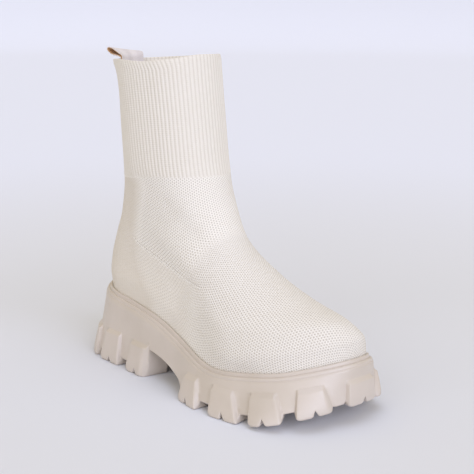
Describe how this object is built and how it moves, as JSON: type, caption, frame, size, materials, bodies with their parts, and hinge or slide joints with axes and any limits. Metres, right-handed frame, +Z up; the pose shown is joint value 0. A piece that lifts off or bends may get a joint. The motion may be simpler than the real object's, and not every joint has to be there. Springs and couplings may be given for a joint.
{
  "type": "knit slip-on boot",
  "caption": "Right ankle boot with a seamless knitted upper, a ribbed sock shaft, a pull loop at the collar and a thick moulded sole with lugs around its edge.",
  "frame": {"origin": "on the ground under the middle of the boot's box", "axes": "+X towards the toe, +Y towards the big-toe side, +Z up"},
  "size_m": [0.28, 0.1168, 0.2575],
  "materials": {
    "moulded_sole_rubber": "satin",
    "cream_knit": "matt knit",
    "insole_lining": "matt",
    "woven_tape": "matt woven"
  },
  "bodies": {
    "root": {"sole": "moulded_sole_rubber", "upper": "cream_knit", "insole": "insole_lining", "pull_loop": "woven_tape"}
  },
  "joints": []
}
